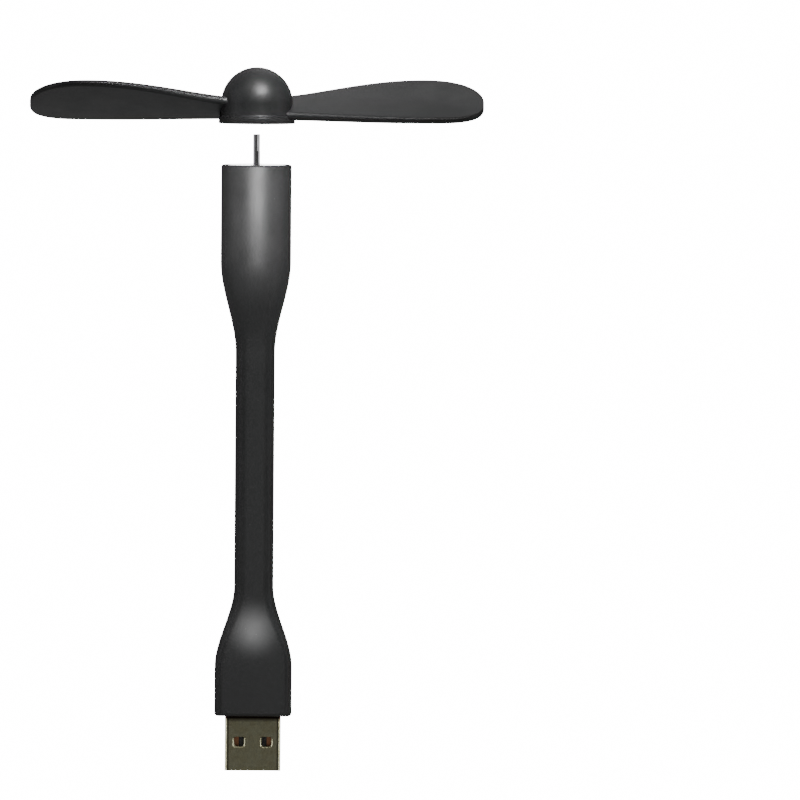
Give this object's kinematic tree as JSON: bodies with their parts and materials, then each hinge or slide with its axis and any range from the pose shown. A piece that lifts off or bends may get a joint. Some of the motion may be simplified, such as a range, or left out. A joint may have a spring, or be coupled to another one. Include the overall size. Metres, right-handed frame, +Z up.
{
  "type": "usb desk fan",
  "caption": "Small fan with a plug at one end of a flexible flat neck and a round motor head with a pull-off two-blade soft propeller at the other.",
  "frame": {"origin": "centre of the plug, on the plane where the rubber housing ends and the bare plug begins", "axes": "+Z up along the fan towards the propeller, X along the plug's width, -Y the front, towards which the plug's contacts face"},
  "size_m": [0.0978, 0.0212, 0.1513],
  "materials": {
    "plug_steel": "nickel-plated steel",
    "plug_plastic": "black moulded plastic",
    "contact_gold": "gold-plated",
    "inner_plastic": "natural moulded plastic",
    "body_rubber": "charcoal soft-touch rubber",
    "gooseneck_steel": "annealed wire",
    "red_insulation": "wire insulation",
    "black_insulation": "wire insulation",
    "can_steel": "zinc-plated steel",
    "end_plate_metal": "bright satin",
    "cap_plastic": "moulded plastic",
    "magnet_ferrite": "bare ferrite",
    "brush_copper": "copper alloy leaf",
    "terminal_tin": "tinned",
    "bushing_bronze": "sintered bronze",
    "shaft_steel": "dark ground steel",
    "core_iron": "stacked laminations",
    "winding_copper": "enamelled copper wire",
    "commutator_copper": "copper bars",
    "propeller_rubber": "charcoal soft plastic",
    "insert_plastic": "hard white plastic"
  },
  "bodies": {
    "plug": {"usb_shell": "plug_steel", "usb_tongue": "plug_plastic", "usb_contact_vbus": "contact_gold", "usb_contact_data_minus": "contact_gold", "usb_contact_data_plus": "contact_gold", "usb_contact_ground": "contact_gold", "plug_inner_mould": "inner_plastic", "plug_cover": "body_rubber", "gooseneck_wire": "gooseneck_steel", "red_lead": "red_insulation", "black_lead": "black_insulation"},
    "neck_1": {"neck_sleeve_1": "body_rubber"},
    "neck_2": {"neck_sleeve_2": "body_rubber"},
    "neck_3": {"neck_sleeve_3": "body_rubber"},
    "neck_4": {"neck_sleeve_4": "body_rubber"},
    "neck_5": {"neck_sleeve_5": "body_rubber"},
    "neck_6": {"neck_sleeve_6": "body_rubber"},
    "neck_7": {"neck_sleeve_7": "body_rubber"},
    "neck_8": {"neck_sleeve_8": "body_rubber"},
    "neck_9": {"neck_sleeve_9": "body_rubber"},
    "head": {"head_cover": "body_rubber", "motor_can": "can_steel", "motor_end_plate": "end_plate_metal", "motor_rear_cap": "cap_plastic", "magnet_left": "magnet_ferrite", "magnet_right": "magnet_ferrite", "brush_positive": "brush_copper", "brush_negative": "brush_copper", "terminal_positive": "terminal_tin", "terminal_negative": "terminal_tin", "front_bushing": "bushing_bronze", "rear_bushing": "bushing_bronze"},
    "rotor": {"motor_shaft": "shaft_steel", "armature_core": "core_iron", "armature_winding_1": "winding_copper", "armature_winding_2": "winding_copper", "armature_winding_3": "winding_copper", "commutator": "commutator_copper"},
    "blades": {"propeller": "propeller_rubber", "hub_insert": "insert_plastic"}
  },
  "joints": [
    {"name": "neck_bend_1", "type": "hinge", "parent": "plug", "child": "neck_1", "pos_m": [0, 0, 0.03051], "axis": [1, 0, 0], "range_deg": [-24, 24], "deforming": ["gooseneck_wire", "red_lead", "black_lead"]},
    {"name": "neck_sway_1", "type": "hinge", "parent": "neck_1", "child": "neck_2", "pos_m": [0, 0, 0.03553], "axis": [0, 1, 0], "range_deg": [-18, 18], "deforming": ["gooseneck_wire", "red_lead", "black_lead"]},
    {"name": "neck_bend_2", "type": "hinge", "parent": "neck_2", "child": "neck_3", "pos_m": [0, 0, 0.04055], "axis": [1, 0, 0], "range_deg": [-24, 24], "deforming": ["gooseneck_wire", "red_lead", "black_lead"]},
    {"name": "neck_sway_2", "type": "hinge", "parent": "neck_3", "child": "neck_4", "pos_m": [0, 0, 0.04557], "axis": [0, 1, 0], "range_deg": [-18, 18], "deforming": ["gooseneck_wire", "red_lead", "black_lead"]},
    {"name": "neck_bend_3", "type": "hinge", "parent": "neck_4", "child": "neck_5", "pos_m": [0, 0, 0.05059], "axis": [1, 0, 0], "range_deg": [-24, 24], "deforming": ["gooseneck_wire", "red_lead", "black_lead"]},
    {"name": "neck_sway_3", "type": "hinge", "parent": "neck_5", "child": "neck_6", "pos_m": [0, 0, 0.05561], "axis": [0, 1, 0], "range_deg": [-18, 18], "deforming": ["gooseneck_wire", "red_lead", "black_lead"]},
    {"name": "neck_bend_4", "type": "hinge", "parent": "neck_6", "child": "neck_7", "pos_m": [0, 0, 0.06063], "axis": [1, 0, 0], "range_deg": [-24, 24], "deforming": ["gooseneck_wire", "red_lead", "black_lead"]},
    {"name": "neck_sway_4", "type": "hinge", "parent": "neck_7", "child": "neck_8", "pos_m": [0, 0, 0.06565], "axis": [0, 1, 0], "range_deg": [-18, 18], "deforming": ["gooseneck_wire", "red_lead", "black_lead"]},
    {"name": "neck_bend_5", "type": "hinge", "parent": "neck_8", "child": "neck_9", "pos_m": [0, 0, 0.07067], "axis": [1, 0, 0], "range_deg": [-24, 24], "deforming": ["gooseneck_wire", "red_lead", "black_lead"]},
    {"name": "neck_sway_5", "type": "hinge", "parent": "neck_9", "child": "head", "pos_m": [0, 0, 0.07569], "axis": [0, 1, 0], "range_deg": [-18, 18], "deforming": ["gooseneck_wire", "red_lead", "black_lead"]},
    {"name": "rotor_spin", "type": "hinge", "parent": "head", "child": "rotor", "pos_m": [0, 0, 0.1252], "axis": [0, 0, 1], "continuous": true},
    {"name": "propeller_pull", "type": "slide", "parent": "rotor", "child": "blades", "axis": [0, 0, 1], "range_m": [-0.008, 0]}
  ]
}
